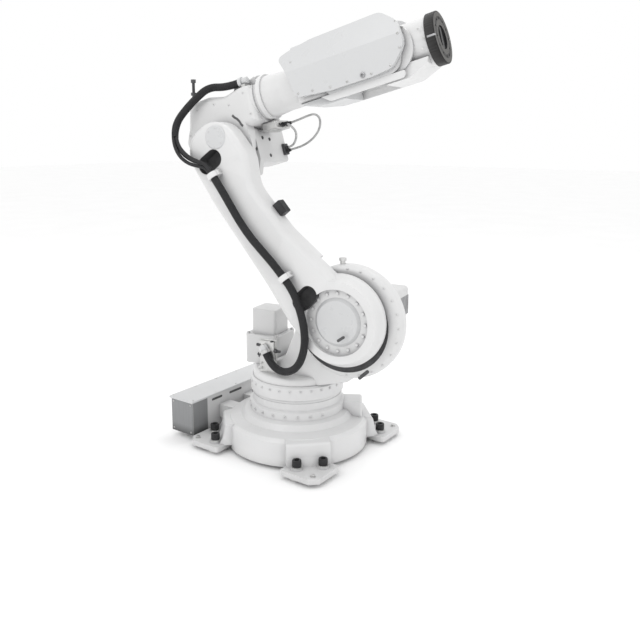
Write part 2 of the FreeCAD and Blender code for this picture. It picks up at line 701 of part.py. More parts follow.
def forearm_fork():
    """Casting behind the wrist with a cheek on each side."""
    core = plate_x([(-BELLY_HALF_WIDTH, -98, 20), (BELLY_HALF_WIDTH, -98, 20), (BELLY_HALF_WIDTH, FORK_CORE_TOP, 40),
                    (-BELLY_HALF_WIDTH, FORK_CORE_TOP, 40)], NECK_END + RUNNING_GAP, FORK_START)
    nose = WRIST_DISTANCE + NOSE_REACH - 16
    parts = [core]
    for side in (-1, 1):
        y0 = min(side * FORK_INNER, side * FORK_OUTER)
        cheek = plate_y([(FORK_START - 70, -100, 20), (nose - 40, -100, 60), (nose, 10, 60), (nose - 50, 110, 60),
                         (FORK_START - 70, 112, 20)], y0, y0 + FORK_OUTER - FORK_INNER)
        parts.append(cheek)
        bridge = block(FORK_START - 68, FORK_START, min(side * 90, side * (FORK_INNER + 2)),
                       max(side * 90, side * (FORK_INNER + 2)), -98, 110)
        parts.append(bridge)
        boss = cylinder(52, WRIST_LOCAL + Y * (side * (WRIST_HALF_WIDTH + RUNNING_GAP)), Y * side,
                        FORK_INNER - WRIST_HALF_WIDTH)
        parts.append(boss)
    return fuse(*parts)


WRIST_LOCAL = Vector(WRIST_DISTANCE, 0, 0)
COVER_OUTLINE = [(405, COVER_CREASE + 8, 24), (372, COVER_TOP - 30, 20), (430, COVER_TOP - 14, 40),
                 (545, COVER_TOP + 4, 60), (880, COVER_TOP + 8, 60), (WRIST_DISTANCE + 66, 100, 60),
                 (WRIST_DISTANCE + NOSE_REACH, 0, 70), (WRIST_DISTANCE + 10, -82, 60),
                 (800, COVER_BOTTOM, 60), (600, COVER_BOTTOM, 60), (434, -72, 30)]


def forearm_cover(side):
    """Side cover: upright below the crease and leaning in above it."""
    whole = plate_y(COVER_OUTLINE, -COVER_OUTER, COVER_OUTER)
    outer = plate_x([(-COVER_OUTER, -200, 0), (COVER_OUTER, -200, 0), (COVER_OUTER, COVER_CREASE, 12),
                     (COVER_TOP_HALF, COVER_TOP + 14, 0), (-COVER_TOP_HALF, COVER_TOP + 14, 0),
                     (-COVER_OUTER, COVER_CREASE, 12)], 300, 1100)
    whole = whole.common(outer)
    y0 = min(side * (FORK_OUTER + RUNNING_GAP), side * 200)
    split = 114
    lower = block(300, 1100, y0, y0 + 200 - FORK_OUTER - RUNNING_GAP, -200, split)
    upper = block(300, 1100, min(side * FORK_INNER, side * 200), max(side * FORK_INNER, side * 200), split, 300)
    return whole.common(fuse(lower, upper))


def forearm_top_cover():
    """Cover bridging the two side covers behind the wrist slot."""
    half = FORK_INNER - RUNNING_GAP
    floor = FORK_CORE_TOP + RUNNING_GAP
    return plate_x([(-half, floor, 0), (half, floor, 0), (half, COVER_TOP + 2, 14), (-half, COVER_TOP + 2, 14)],
                   440, FORK_START)


def forearm_belly_cover():
    """Tapered cover under the forearm, behind the wrist slot."""
    half = BELLY_HALF_WIDTH
    body = plate_y([(420, -98.3, 0), (FORK_START, -98.3, 0), (FORK_START, BELLY_BOTTOM, 0), (545, BELLY_BOTTOM, 60),
                    (440, -110, 20)], -half, half)
    return rounded(body, 8, lambda p: abs(abs(p.y) - half) < 0.01 and p.x < FORK_START - 5 and p.z < -100)


def forearm_rails():
    """Two lower rails that run on beside the wrist."""
    rails = []
    for side in (-1, 1):
        y0 = min(side * FORK_INNER, side * FORK_OUTER)
        rail = plate_y([(FORK_START - 100, -100.3, 0), (WRIST_DISTANCE + RAIL_END, -100.3, 4),
                        (WRIST_DISTANCE + RAIL_END, RAIL_BOTTOM, 20), (FORK_START - 60, RAIL_BOTTOM, 20)],
                       y0, y0 + FORK_OUTER - FORK_INNER)
        rails.append(rail)
    return rails


# ---- wrist, in the forearm frame ----
def wrist_housing():
    """Tilting body: hub across axis 5, barrel toward the flange."""
    hub = cylinder(WRIST_RADIUS, WRIST_LOCAL - Y * WRIST_HALF_WIDTH, Y, 2 * WRIST_HALF_WIDTH)
    barrel = cylinder(WRIST_RADIUS, WRIST_LOCAL + X * 20, X, WRIST_FRONT - 20)
    return fuse(hub, barrel)


def wrist_chin():
    """Cover under the wrist, curving up toward the flange."""
    top = -WRIST_RADIUS + 30
    body = plate_y([(WRIST_DISTANCE - CHIN_BACK, top, 0), (WRIST_DISTANCE + CHIN_FRONT + 38, top, 0),
                    (WRIST_DISTANCE + CHIN_FRONT + 30, -98, 10), (WRIST_DISTANCE + CHIN_FRONT - 60, BELLY_BOTTOM, 60),
                    (WRIST_DISTANCE - CHIN_BACK, BELLY_BOTTOM, 10)], -CHIN_HALF_WIDTH, CHIN_HALF_WIDTH)
    body = body.cut(cylinder(WRIST_RADIUS + RUNNING_GAP, WRIST_LOCAL - Y * 200, Y, 400))
    body = body.cut(cylinder(WRIST_RADIUS + RUNNING_GAP, WRIST_LOCAL, X, 400))
    return max(body.Solids, key=lambda solid: solid.Volume)


def tool_flange():
    start = WRIST_LOCAL + X * (WRIST_FRONT + RUNNING_GAP)
    face = FLANGE_DISTANCE - WRIST_FRONT - RUNNING_GAP
    disc = cylinder(FLANGE_RADIUS, start, X, face)
    disc = rounded(disc, 3, lambda p: p.x > WRIST_DISTANCE + FLANGE_DISTANCE - 1)
    front = WRIST_LOCAL + X * FLANGE_DISTANCE
    disc = disc.cut(cylinder(FLANGE_BORE_RADIUS, front, -X, FLANGE_BORE_DEPTH))
    for i in range(FLANGE_HOLE_COUNT):
        angle = 2 * math.pi * i / FLANGE_HOLE_COUNT
        offset = Vector(0, math.cos(angle), math.sin(angle)) * (FLANGE_PCD / 2)
        disc = disc.cut(cylinder(FLANGE_HOLE_RADIUS, front + offset, -X, FLANGE_HOLE_DEPTH))
    return disc


# ---- hoses and cables ----
ARM_HOSE = [Vector(-61, HOSE_Y, 896), Vector(-66, HOSE_Y, 815), Vector(-76, HOSE_Y, 720), Vector(-85, HOSE_Y, 630),
            Vector(-86, HOSE_Y, 540), Vector(-76, HOSE_Y, 450), Vector(-66, HOSE_Y, 365), Vector(-64, HOSE_Y, 280)]

SHOULDER_LOOP = [Vector(91.19, -273, 878.13), Vector(124.2, -273, 840.6), Vector(159, -273, 757), Vector(179, -272, 684),
                 Vector(183, -268, 611), Vector(168, -260, 540), Vector(134, -248, 478), Vector(82, -233, 441),
                 Vector(20, -215, 430), Vector(-36, -201, 457), Vector(-64, -195, 500)]

ELBOW_LOOP = [Vector(-302.85, -273, 1352.41), Vector(-326.6, -273, 1384.6), Vector(-368, -273, 1392),
              Vector(-420, -271, 1404), Vector(-475, -262, 1434), Vector(-518, -245, 1478), Vector(-542, -222, 1531),
              Vector(-543, -196, 1588), Vector(-512, -168, 1642), Vector(-466, -150, 1692), Vector(-402, -132, 1745),
              Vector(-326.9, -90, 1743.6), Vector(-255.4, -90, 1762.8)]

LEAD_A = [Vector(232.4, 40, 62), Vector(256, 40, 62), Vector(268, 60, 42), Vector(266, 92, 20), Vector(246, 126, 0),
          Vector(214, 160, -18), Vector(182, 190, -27), Vector(154, 204, -29), Vector(132.4, 204, -29)]

LEAD_B = [Vector(232.4, 88, 66), Vector(262, 88, 66), Vector(296, 108, 72), Vector(330, 130, 80), Vector(358, 152, 82),
          Vector(370, 168, 62), Vector(364, 178, 34), Vector(342, 186, 4), Vector(306, 194, -20),
          Vector(264, 203, -35), Vector(220, 213, -42), Vector(174, 218, -43), Vector(132.4, 218, -43)]


def main():
    forearm = UPPER.multiply(Placement(AXIS_4, Rotation()))

    write("base_casting", WORLD, base_casting())
    write("foot_pads", WORLD, *foot_pads())
    write("rear_box", WORLD, rear_box())
    write("rear_box_ends", WORLD, *rear_box_ends())
    lid = plate_z(box_outline(BOX_LID_OVERHANG), BOX_TOP, BOX_TOP + BOX_LID)
    write("rear_box_lid", WORLD, rounded(lid, 2, at_z(BOX_TOP + BOX_LID)))
    write("rear_box_carriers", WORLD, *rear_box_carrier())
    write("base_connector", WORLD, base_connector())
    write("axis_1_stop", WORLD, axis_1_stop())

    write("turret_ring", TURRET, turret_ring())
    write("turret_casting", TURRET, turret_casting())
    write("shoulder_seal", TURRET, shoulder_seal())
    write("axis_1_motor_flange", TURRET, motor_1_flange())
    write("axis_1_motor", TURRET, motor_1())
    write("axis_2_motor_flange", TURRET, motor_2_flange())
    write("axis_2_motor", TURRET, motor_2())
    write("lifting_knob", TURRET, lifting_knob())
    write("hose_bracket", TURRET, hose_bracket())
    write("shoulder_hose_fitting", TURRET, hose_fitting(SHOULDER_LOOP[-1], SHOULDER_LOOP[-2]))

    write("lower_arm", ARM, lower_arm())
    write("arm_round_covers", ARM, shoulder_cover(), elbow_cover())
    write("hose_clamps", ARM, *hose_clamps(ARM_HOSE))
    write("arm_switch_box", ARM, arm_switch_box())
    write("arm_hose", ARM, tube("arm_hose", ARM, ARM_HOSE, HOSE_RADIUS))

    write("elbow_housing", UPPER, elbow_housing())
    write("axis_3_motor_plate", UPPER, motor_3_plate())
    write("axis_3_motor", UPPER, motor_3())
    write("axis_3_motor_socket", UPPER, motor_3_socket())
    write("axis_4_motor", UPPER, motor_4())
    write("elbow_side_cover", UPPER, elbow_side_cover())
    write("elbow_hose_bracket", UPPER, elbow_hose_bracket())
    write("vent_fitting", UPPER, vent_fitting())
    write("cable_block", UPPER, cable_block())
    write("elbow_hose_fitting", TURRET, hose_fitting(ELBOW_LOOP[-1], ELBOW_LOOP[-2]))

    write("forearm_neck", forearm, forearm_neck())
    write("forearm_fork", forearm, forearm_fork())
    write("forearm_side_covers", forearm, forearm_cover(-1), forearm_cover(1))
    write("forearm_top_cover", forearm, forearm_top_cover())
    write("forearm_belly_cover", forearm, forearm_belly_cover())
    write("forearm_rails", forearm, *forearm_rails())

    write("wrist_housing", forearm, wrist_housing())
    write("wrist_chin", forearm, wrist_chin())
    write("tool_flange", forearm, tool_flange())

    write("shoulder_hose_loop", TURRET, tube("shoulder_hose_loop", TURRET, SHOULDER_LOOP, HOSE_RADIUS))
    write("elbow_hose_loop", TURRET, tube("elbow_hose_loop", TURRET, ELBOW_LOOP, HOSE_RADIUS))
    short_lead = tube("motor_lead_short", UPPER, LEAD_A, CABLE_RADIUS)
    long_lead = tube("motor_lead_long", UPPER, LEAD_B, CABLE_RADIUS)
    write("motor_leads", UPPER, short_lead, long_lead)


main()
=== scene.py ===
import json
import math

import bmesh
import bpy
from mathutils import Matrix, Vector


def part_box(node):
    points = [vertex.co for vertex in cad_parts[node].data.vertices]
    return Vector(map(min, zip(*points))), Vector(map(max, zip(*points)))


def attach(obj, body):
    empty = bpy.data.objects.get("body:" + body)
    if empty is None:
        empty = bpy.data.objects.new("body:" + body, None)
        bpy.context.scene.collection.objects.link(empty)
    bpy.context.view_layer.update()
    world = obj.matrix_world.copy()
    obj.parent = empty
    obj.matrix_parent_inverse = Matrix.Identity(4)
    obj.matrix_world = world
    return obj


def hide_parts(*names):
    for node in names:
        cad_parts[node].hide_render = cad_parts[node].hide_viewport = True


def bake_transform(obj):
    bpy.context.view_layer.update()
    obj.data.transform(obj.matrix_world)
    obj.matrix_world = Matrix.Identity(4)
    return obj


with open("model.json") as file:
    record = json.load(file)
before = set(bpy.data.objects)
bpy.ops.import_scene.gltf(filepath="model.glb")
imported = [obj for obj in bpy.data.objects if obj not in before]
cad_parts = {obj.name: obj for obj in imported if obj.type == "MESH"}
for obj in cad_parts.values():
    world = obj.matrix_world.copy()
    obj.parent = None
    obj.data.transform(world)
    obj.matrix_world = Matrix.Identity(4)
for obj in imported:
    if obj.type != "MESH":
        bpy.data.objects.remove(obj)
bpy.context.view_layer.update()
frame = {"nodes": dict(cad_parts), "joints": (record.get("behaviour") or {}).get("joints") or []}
joints = {joint["name"]: joint for joint in frame["joints"]}
nodes = frame["nodes"]

# ---- frames of the moving bodies at rest, from the record's joints ----
UP = Vector((0, 0, 1))
SIDE = Vector(joints["axis_2"]["axis"]).normalized()
SHOULDER = Vector(joints["axis_2"]["pos_m"])
ELBOW = Vector(joints["axis_3"]["pos_m"])
ALONG = Vector(joints["axis_4"]["axis"]).normalized()


def frame_of(origin, x, y, z):
    matrix = Matrix((x, y, z)).transposed().to_4x4()
    matrix.translation = origin
    return matrix


WORLD = Matrix.Identity(4)
TURRET = frame_of(Vector((0, 0, 0)), SIDE.cross(UP), SIDE, UP)
rising = (ELBOW - SHOULDER).normalized()
ARM = frame_of(SHOULDER, SIDE.cross(rising), SIDE, rising)
UPPER = frame_of(ELBOW, ALONG, SIDE, ALONG.cross(SIDE))
FORE = frame_of(Vector(joints["axis_4"]["pos_m"]), ALONG, SIDE, ALONG.cross(SIDE))
X, Y, Z = Vector((1, 0, 0)), Vector((0, 1, 0)), Vector((0, 0, 1))
MM = 0.001
WHITE = (1, 1, 1)
EDGE_START = 0.52  # pointiness at which an edge begins to count as convex

# faces and places that details stand on, in millimetres in each body's frame
BOLT_PLACES = ((250, 335), (335, 250))
PAD_TOP = 52.2
NECK_RADIUS = 236
RING_RADIUS = 230
MOTOR_1_PLACE = (-166, 22)
HOUSING_FACE = -150
ARM_FACE = -240
POCKET_FLOOR = ARM_FACE + 24
WELLS = (("upper_well", -52, 950, 4), ("lower_well", -58, 172, -4))
CLAMP_FACE = -252
ELBOW_FACE = -118
COVER_FACE = 155
WRIST_HALF_WIDTH = 112


# ---- camera ----
def camera():
    data = bpy.data.cameras.new("camera")
    data.lens = 40.77
    data.sensor_width = 36
    data.shift_x = 0.0243
    data.shift_y = -0.0785
    data.clip_end = 60
    cam = bpy.data.objects.new("camera", data)
    bpy.context.scene.collection.objects.link(cam)
    cam.location = (2.091, -2.759, 1.525)
    pitch = math.radians(10.576)
    ahead = Vector((-0.5958 * math.cos(pitch), 0.8032 * math.cos(pitch), -math.sin(pitch)))
    cam.rotation_mode = "QUATERNION"
    cam.rotation_quaternion = ahead.to_track_quat("-Z", "Y")
    bpy.context.scene.camera = cam


camera()


# ---- materials ----
def add(tree, kind, **values):
    node = tree.nodes.new(kind)
    for key, value in values.items():
        if key in node.inputs:
            node.inputs[key].default_value = value
        else:
            setattr(node, key, value)
    return node


def noise(tree, coords, scale, detail=3.0, rough=0.5, stretch=None):
    source = coords
    if stretch:
        mapping = add(tree, "ShaderNodeMapping")
        mapping.inputs["Scale"].default_value = stretch
        tree.links.new(coords, mapping.inputs["Vector"])
        source = mapping.outputs["Vector"]
    node = add(tree, "ShaderNodeTexNoise", Scale=scale, Detail=detail, Roughness=rough)
    tree.links.new(source, node.inputs["Vector"])
    return node.outputs["Fac"]


def ramp(tree, factor, stops):
    node = add(tree, "ShaderNodeValToRGB")
    bar = node.color_ramp
    while len(bar.elements) < len(stops):
        bar.elements.new(0.5)
    for element, (place, colour) in zip(bar.elements, stops):
        element.position = place
        element.color = (*colour, 1)
    tree.links.new(factor, node.inputs["Fac"])
    return node.outputs["Color"]


def mix(tree, kind, factor, a, b):
    node = add(tree, "ShaderNodeMix", data_type="RGBA", blend_type=kind)
    for socket, value in ((node.inputs[0], factor), (node.inputs[6], a), (node.inputs[7], b)):
        if isinstance(value, bpy.types.NodeSocket):
            tree.links.new(value, socket)
        elif isinstance(value, (int, float)):
            socket.default_value = value
        else:
            socket.default_value = (*value, 1)
    return node.outputs[2]


def bumps(tree, shader, layers):
    """Layers of (height socket, strength, distance in metres), the finest last."""
    previous = None
    for height, strength, distance in layers:
        node = add(tree, "ShaderNodeBump", Strength=strength, Distance=distance)
        tree.links.new(height, node.inputs["Height"])
        if previous:
            tree.links.new(previous, node.inputs["Normal"])
        previous = node.outputs["Normal"]
    tree.links.new(previous, shader.inputs["Normal"])


def start(name):
    material = bpy.data.materials.new(name)
    material.use_nodes = True
    tree = material.node_tree
    shader = tree.nodes["Principled BSDF"]
    coords = add(tree, "ShaderNodeTexCoord").outputs["Object"]
    return material, tree, shader, coords


def edges(tree, high):
    """Convex edges of the mesh as a mask, full at the given pointiness."""
    geometry = add(tree, "ShaderNodeNewGeometry")
    return ramp(tree, geometry.outputs["Pointiness"], [(EDGE_START, (0, 0, 0)), (high, WHITE)])


def rubbed_edges(tree, base, high, strength, lift):
    """Convex edges lightened by a plain amount."""
    mask = mix(tree, "MULTIPLY", 1.0, edges(tree, high), (strength,) * 3)
    return mix(tree, "ADD", mask, base, (lift,) * 3)


def painted_crease_shade(tree, reach, colour_low):
    """Painted shade: darkening in creases and beside other pieces, from ambient occlusion."""
    shade = add(tree, "ShaderNodeAmbientOcclusion", Distance=reach, samples=8)
    return ramp(tree, shade.outputs["AO"], [(0.25, colour_low), (0.85, WHITE)])


def paint(name, colour, rough=0.36, cast=0.3, dust=0.06, darker_near_floor=False):
    """Sprayed enamel over a casting: faint mottling, orange peel, painted shade in hollows, rubbed edges."""
    material, tree, shader, coords = start(name)
    dull = tuple(c * (1 - dust) for c in colour)
    cloud = noise(tree, coords, 2.6, 5, 0.55)
    base = ramp(tree, cloud, [(0.36, dull), (0.62, colour)])
    specks = noise(tree, coords, 46, 6, 0.7)
    speckled = ramp(tree, specks, [(0.26, (0.86, 0.86, 0.85)), (0.4, WHITE)])
    base = mix(tree, "MULTIPLY", 0.5, base, speckled)
    rubbed = tuple(min(1, c * 1.06) for c in colour)
    base = mix(tree, "MIX", mix(tree, "MULTIPLY", 1.0, edges(tree, 0.6), (0.6, 0.6, 0.6)), base, rubbed)
    # painted shade: ambient occlusion darkens the colour in creases and beside other pieces
    base = mix(tree, "MULTIPLY", 0.85, base, painted_crease_shade(tree, 0.055, (0.52, 0.52, 0.53)))
    # colour darkened towards the floor, over the lowest 6 cm
    if darker_near_floor:
        place = add(tree, "ShaderNodeSeparateXYZ")
        tree.links.new(coords, place.inputs[0])
        floor_darkening = ramp(tree, place.outputs["Z"], [(0.0, (0.86, 0.855, 0.845)), (0.06, WHITE)])
        base = mix(tree, "MULTIPLY", 0.7, base, floor_darkening)
    tree.links.new(base, shader.inputs["Base Color"])
    patches = noise(tree, coords, 9, 4, 0.6)
    gloss = ramp(tree, patches, [(0.3, (rough - 0.06,) * 3), (0.7, (rough + 0.1,) * 3)])
    tree.links.new(gloss, shader.inputs["Roughness"])
    shader.inputs["Coat Weight"].default_value = 0.15
    shader.inputs["Coat Roughness"].default_value = 0.2
    bumps(tree, shader, [(noise(tree, coords, 22, 5, 0.6), cast * 0.5, 0.0012),
                         (noise(tree, coords, 210, 3, 0.5), cast, 0.0003),
                         (noise(tree, coords, 900, 2, 0.5), 0.12, 0.0001)])
    return material


def metal(name, colour, rough, metallic=1.0, shine=0.5):
    material, tree, shader, coords = start(name)
    grain = noise(tree, coords, 160, 6, 0.7)
    dull = tuple(c * 0.72 for c in colour)
    base = ramp(tree, noise(tree, coords, 11, 5, 0.6), [(0.35, dull), (0.65, colour)])
    base = mix(tree, "MULTIPLY", 0.5, base, ramp(tree, grain, [(0.3, (0.7, 0.7, 0.7)), (0.7, WHITE)]))
    base = rubbed_edges(tree, base, 0.62, 0.5, 0.12)
    tree.links.new(base, shader.inputs["Base Color"])
    gloss = ramp(tree, grain, [(0.2, (rough - 0.1,) * 3), (0.8, (rough + 0.14,) * 3)])
    tree.links.new(gloss, shader.inputs["Roughness"])
    shader.inputs["Metallic"].default_value = metallic
    shader.inputs["Specular IOR Level"].default_value = shine
    bumps(tree, shader, [(grain, 0.2, 0.0002)])
    return material


def sheet_metal(name, colour, low):
    """Grey painted folded sheet, darker towards the floor, with faint upright streaks."""
    material, tree, shader, coords = start(name)
    place = add(tree, "ShaderNodeSeparateXYZ")
    tree.links.new(coords, place.inputs[0])
    middle = tuple(c * 0.9 for c in colour)
    base = ramp(tree, place.outputs["Z"], [(0.03, low), (0.075, middle), (0.2, colour)])
    streaks = noise(tree, coords, 30, 5, 0.6, (3, 3, 0.25))
    base = mix(tree, "MULTIPLY", 0.6, base, ramp(tree, streaks, [(0.3, (0.8, 0.8, 0.8)), (0.62, WHITE)]))
    # painted shade: ambient occlusion darkens the colour in creases and beside other pieces
    base = mix(tree, "MULTIPLY", 0.7, base, painted_crease_shade(tree, 0.03, (0.5, 0.5, 0.5)))
    base = rubbed_edges(tree, base, 0.6, 0.4, 0.1)
    tree.links.new(base, shader.inputs["Base Color"])
    tree.links.new(ramp(tree, streaks, [(0.3, (0.4,) * 3), (0.7, (0.55,) * 3)]), shader.inputs["Roughness"])
    shader.inputs["Metallic"].default_value = 0.15
    bumps(tree, shader, [(noise(tree, coords, 300, 3, 0.5), 0.25, 0.0003)])
    return material


def plastic(name, colour, rough=0.5, shine=0.2):
    material, tree, shader, coords = start(name)
    lift = tuple(c * 1.5 + 0.01 for c in colour)
    base = ramp(tree, noise(tree, coords, 25, 5, 0.6), [(0.35, colour), (0.7, lift)])
    base = rubbed_edges(tree, base, 0.62, 0.5, 0.06)
    tree.links.new(base, shader.inputs["Base Color"])
    patches = noise(tree, coords, 60, 4, 0.6)
    gloss = ramp(tree, patches, [(0.3, (rough - 0.08,) * 3), (0.7, (rough + 0.12,) * 3)])
    tree.links.new(gloss, shader.inputs["Roughness"])
    shader.inputs["Specular IOR Level"].default_value = shine
    bumps(tree, shader, [(noise(tree, coords, 1100, 2, 0.5), 0.35, 0.0002)])
    return material


def braid(name, colour, light, turns, rows, depth):
    """Woven sleeve: two sets of slanting strands from the tube's own UV map."""
    material, tree, shader, coords = start(name)
    uv = add(tree, "ShaderNodeUVMap", uv_map="UVMap").outputs["UV"]
    heights = []
    for slant in (1, -1):
        mapping = add(tree, "ShaderNodeMapping")
        mapping.inputs["Scale"].default_value = (turns, rows, 1)
        mapping.inputs["Rotation"].default_value = (0, 0, slant * math.radians(45))
        tree.links.new(uv, mapping.inputs["Vector"])
        wave = add(tree, "ShaderNodeTexWave", Scale=1.0, Distortion=0.35, Detail=1.0, wave_type="BANDS")
        tree.links.new(mapping.outputs["Vector"], wave.inputs["Vector"])
        heights.append(wave.outputs["Fac"])
    woven = mix(tree, "LIGHTEN", 1.0, heights[0], heights[1])
    base = ramp(tree, woven, [(0.25, colour), (0.9, light)])
    patches = noise(tree, coords, 18, 5, 0.6)
    base = mix(tree, "MULTIPLY", 0.6, base, ramp(tree, patches, [(0.35, (0.6, 0.6, 0.6)), (0.65, WHITE)]))
    tree.links.new(base, shader.inputs["Base Color"])
    tree.links.new(ramp(tree, woven, [(0.2, (0.75,) * 3), (0.9, (0.42,) * 3)]), shader.inputs["Roughness"])
    shader.inputs["Specular IOR Level"].default_value = 0.22
    bumps(tree, shader, [(woven, 0.7, depth)])
    return material


white = paint("white_enamel", (0.70, 0.70, 0.70))
white_base = paint("white_enamel_base", (0.67, 0.67, 0.672), rough=0.42, cast=0.5, dust=0.09, darker_near_floor=True)
white_smooth = paint("white_cover", (0.59, 0.595, 0.60), rough=0.3, cast=0.12, dust=0.03)
motor_paint = paint("motor_paint", (0.60, 0.60, 0.60), rough=0.4, cast=0.2)
lid_paint = paint("lid_paint", (0.60, 0.605, 0.61), rough=0.4, cast=0.1, dust=0.05)
box_paint = paint("box_paint", (0.66, 0.66, 0.66), rough=0.42, cast=0.12, darker_near_floor=True)
grey_sheet = sheet_metal("grey_sheet", (0.23, 0.235, 0.24), (0.05, 0.05, 0.052))
zinc = metal("zinc_plated", (0.72, 0.72, 0.71), 0.36)
flange_black = metal("black_oxide_steel", (0.022, 0.021, 0.021), 0.5, metallic=0.25, shine=0.25)
flange_face = metal("flange_face", (0.075, 0.072, 0.066), 0.5, metallic=0.3, shine=0.3)
worn_steel = metal("worn_steel", (0.46, 0.46, 0.47), 0.45, metallic=0.8)
# painted shade: dark grey used as the shaded side of the axis 2 motor
shade_grey = plastic("painted_shade_grey", (0.20, 0.20, 0.205), 0.6)
dark_steel = metal("dark_steel", (0.08, 0.08, 0.085), 0.45, metallic=0.7)
black_cap = plastic("black_cap", (0.012, 0.012, 0.013), 0.38)
black_plastic = plastic("black_plastic", (0.02, 0.02, 0.022), 0.5)
seal_rubber = plastic("seal_rubber", (0.045, 0.045, 0.047), 0.62)
# painted shade: near-black colour for holes, slots and gaps, standing in for the shade inside them
shade_in_holes = plastic("painted_hole_shade", (0.06, 0.06, 0.062), 0.6, shine=0.4)
lead_sheath = plastic("lead_sheath", (0.36, 0.36, 0.36), 0.45)
sleeve = braid("woven_sleeve", (0.008, 0.008, 0.009), (0.034, 0.034, 0.036), 22, 150, 0.0006)
hose_rubber = braid("hose_rubber", (0.012, 0.012, 0.013), (0.045, 0.045, 0.047), 10, 220, 0.0003)

CAD_LOOKS = {
    "base_casting": white_base, "foot_pads": zinc, "rear_box": box_paint, "rear_box_ends": grey_sheet,
    "rear_box_lid": lid_paint, "rear_box_carriers": box_paint, "base_connector": black_plastic,
    "axis_1_stop": white_base, "turret_ring": white_base, "shoulder_seal": seal_rubber,
    "axis_1_motor_flange": motor_paint, "axis_1_motor": motor_paint, "axis_2_motor": motor_paint,
    "lifting_knob": zinc, "hose_bracket": zinc, "shoulder_hose_fitting": zinc,
    "arm_round_covers": white_smooth, "arm_switch_box": black_plastic,
    "axis_3_motor_plate": motor_paint, "axis_3_motor": motor_paint, "axis_3_motor_socket": dark_steel,
    "axis_4_motor": motor_paint, "elbow_hose_bracket": zinc, "vent_fitting": dark_steel,
    "cable_block": zinc, "elbow_hose_fitting": white_smooth,
    "forearm_side_covers": white_smooth, "forearm_top_cover": white_smooth,
    "forearm_belly_cover": white_smooth,
    "tool_flange": flange_black,
}
for name, node in nodes.items():
    look = CAD_LOOKS.get(name, white)
    for place in range(len(node.material_slots)):
        node.material_slots[place].material = look
    if not node.material_slots:
        node.data.materials.append(look)


# ---- mesh helpers: sizes in millimetres in a body's own frame ----
def turned(frame_matrix, point, axis):
    """Matrix whose Z runs along the axis, at the point, both in the body's frame."""
    matrix = axis.normalized().to_track_quat("Z", "Y").to_matrix().to_4x4()
    matrix.translation = point * MM
    return frame_matrix @ matrix


def lathe(bm, matrix, profile, count=28, phase=0.0):
    """Surface of revolution about the matrix's Z from (radius, height) points in millimetres."""
    rows = []
    for radius, height in profile:
        if radius <= 0:
            rows.append([bm.verts.new(matrix @ Vector((0, 0, height * MM)))])
            continue
        row = []
        for step in range(count):
            angle = phase + 2 * math.pi * step / count
            point = Vector((radius * math.cos(angle), radius * math.sin(angle), height))
            row.append(bm.verts.new(matrix @ (point * MM)))
        rows.append(row)
    for one, two in zip(rows, rows[1:]):
        for step in range(count):
            after = (step + 1) % count
            if len(one) == 1 and len(two) == 1:
                continue
            if len(one) == 1:
                bm.faces.new((one[0], two[step], two[after]))
            elif len(two) == 1:
                bm.faces.new((one[step], one[after], two[0]))
            else:
                bm.faces.new((one[step], one[after], two[after], two[step]))


def finish_mesh(name, bm, look, body, smooth=30):
    bmesh.ops.recalc_face_normals(bm, faces=bm.faces)
    mesh = bpy.data.meshes.new(name)
    bm.to_mesh(mesh)
    bm.free()
    mesh.materials.append(look)
    piece = bpy.data.objects.new(name, mesh)
    bpy.context.scene.collection.objects.link(piece)
    for face in mesh.polygons:
        face.use_smooth = True
    mesh.set_sharp_from_angle(angle=math.radians(smooth))
    if body:
        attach(piece, body)
    return piece


def socket_screw(bm, matrix, r, h):
    lathe(bm, matrix, [(r * 0.86, -0.3), (r, 0.0), (r, h * 0.82), (r * 0.86, h), (r * 0.58, h)], 20)
    lathe(bm, matrix, [(r * 0.58, h), (r * 0.52, h * 0.94), (r * 0.52, h * 0.45), (0, h * 0.38)], 6)


def hex_screw(bm, matrix, r, h):
    lathe(bm, matrix, [(r * 1.4, -0.2), (r * 1.4, h * 0.18), (r * 1.3, h * 0.24), (r, h * 0.24)], 24)
    lathe(bm, matrix, [(r, h * 0.2), (r, h * 0.85), (r * 0.85, h), (0, h)], 6)


def button_screw(bm, matrix, r, h):
    lathe(bm, matrix, [(r, -0.2), (r, h * 0.2), (r * 0.86, h * 0.68), (r * 0.5, h * 0.98), (r * 0.42, h)], 20)
    lathe(bm, matrix, [(r * 0.42, h), (r * 0.36, h * 0.3), (0, h * 0.3)], 6)


def screws(name, body, look, kind, frame_matrix, places, r, h):
    """Like screws on one body as one piece. A place is (point, axis) in the body's frame."""
    bm = bmesh.new()
    for point, axis in places:
        kind(bm, turned(frame_matrix, point, axis), r, h)
    return finish_mesh(name, bm, look, body)


def on_circle(centre, axis, radius, count, phase=0.0, skip=None):
    across = axis.orthogonal().normalized()
    up = axis.cross(across).normalized()
    places = []
    for step in range(count):
        angle = phase + 2 * math.pi * step / count
        place = centre + across * radius * math.cos(angle) + up * radius * math.sin(angle)
        if skip is None or not skip(place):
            places.append((place, axis))
    return places


def plate(name, body, look, frame_matrix, outline, low, high, plane="y", bevel=1.0):
    """Flat piece from an outline across the named axis, between two heights along it."""
    bm = bmesh.new()
    order = {"y": lambda a, b, c: Vector((a, c, b)), "x": lambda a, b, c: Vector((c, a, b))}[plane]
    lower = [bm.verts.new(frame_matrix @ (order(a, b, low) * MM)) for a, b in outline]
    upper = [bm.verts.new(frame_matrix @ (order(a, b, high) * MM)) for a, b in outline]
    bm.faces.new(lower)
    bm.faces.new(upper)
    for step in range(len(outline)):
        after = (step + 1) % len(outline)
        bm.faces.new((lower[step], lower[after], upper[after], upper[step]))
    bmesh.ops.recalc_face_normals(bm, faces=bm.faces)
    if bevel:
        bmesh.ops.bevel(bm, geom=bm.edges[:], offset=bevel * MM, segments=2, affect="EDGES",
                        clamp_overlap=True)
    return finish_mesh(name, bm, look, body, 40)


